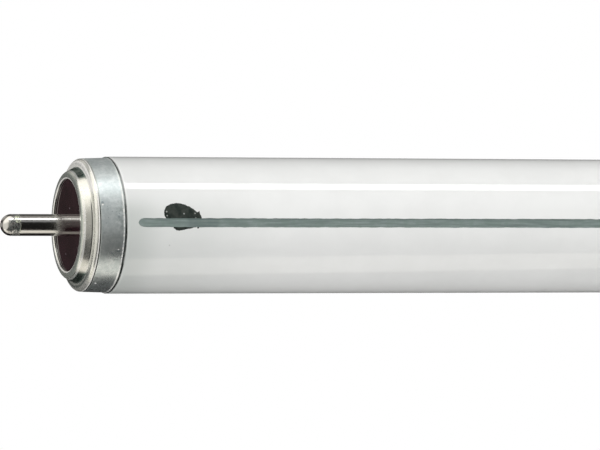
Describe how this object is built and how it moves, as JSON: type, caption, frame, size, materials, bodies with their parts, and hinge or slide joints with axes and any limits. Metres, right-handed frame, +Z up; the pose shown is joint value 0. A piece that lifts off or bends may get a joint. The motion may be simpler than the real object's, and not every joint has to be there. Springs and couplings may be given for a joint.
{
  "type": "fluorescent tube",
  "caption": "Straight fluorescent lamp tube with a pressed metal cap and a thick round contact pin at each end, and an ignition strip along the glass.",
  "frame": {"origin": "middle of the lamp's axis, half way between the tips of the pins", "axes": "+X along the lamp, away from the pictured end; the strip faces -Y; +Z up"},
  "size_m": [0.6122, 0.038, 0.038],
  "materials": {
    "phosphor_glass": "smooth glass, white from the coating inside",
    "strip_coating": "dull grey-green conductive coating",
    "contact_paint": "dark mottled carbon coating",
    "cap_metal": "pressed, bright, slightly stained",
    "insulator": "glossy dark moulded disc",
    "pin_plating": "bright nickel plate",
    "solder": "smooth solder",
    "cement": "matt basing cement",
    "lead_wire": "bare drawn wire"
  },
  "bodies": {
    "root": {"glass_tube": "phosphor_glass", "ignition_strip": "strip_coating", "strip_contact_patch": "contact_paint", "left_cap_shell": "cap_metal", "right_cap_shell": "cap_metal", "left_cap_insulator": "insulator", "right_cap_insulator": "insulator", "left_contact_pin": "pin_plating", "right_contact_pin": "pin_plating", "left_pin_solder": "solder", "right_pin_solder": "solder", "left_cap_cement": "cement", "right_cap_cement": "cement", "left_upper_lead_wire": "lead_wire", "left_lower_lead_wire": "lead_wire", "right_upper_lead_wire": "lead_wire", "right_lower_lead_wire": "lead_wire"}
  },
  "joints": []
}
